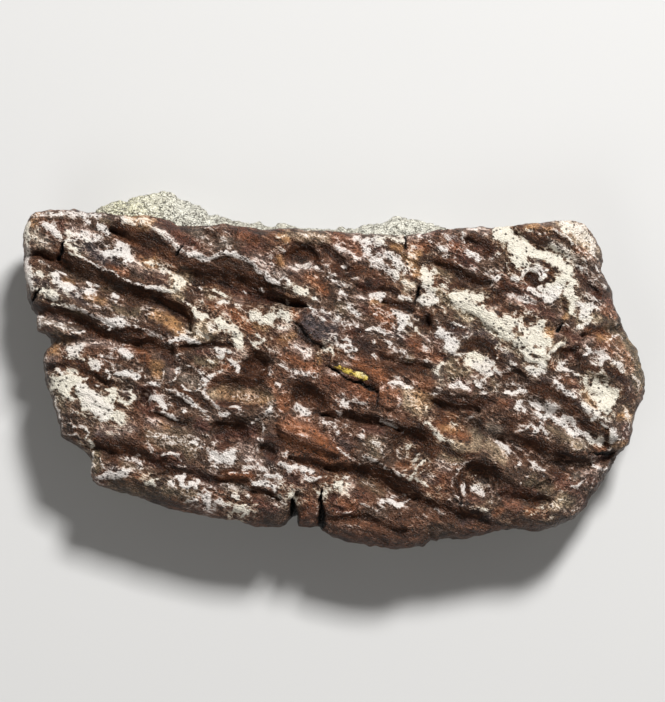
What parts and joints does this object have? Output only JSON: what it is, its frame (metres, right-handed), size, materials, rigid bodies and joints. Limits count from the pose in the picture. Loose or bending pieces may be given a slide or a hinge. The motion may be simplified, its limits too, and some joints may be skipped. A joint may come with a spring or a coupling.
{
  "type": "metoposaur dermal scute",
  "caption": "Broken plate of fossil dermal bone with a ridged and pitted face, on the pale rock that adheres to its back. It lies face up on a flat underside.",
  "frame": {"origin": "centre of the bounding box in plan, at the rock's flat underside", "axes": "+X along the plate, to the right as the picture shows it; +Y across it, to the edge with the rock lip; +Z out of the ornamented face"},
  "size_m": [0.0702, 0.0405, 0.0127],
  "materials": {
    "fossil_bone": "satin",
    "pale_rock": "matte"
  },
  "bodies": {
    "root": {"bone_plate": "fossil_bone", "rock_matrix": "pale_rock"}
  },
  "joints": []
}
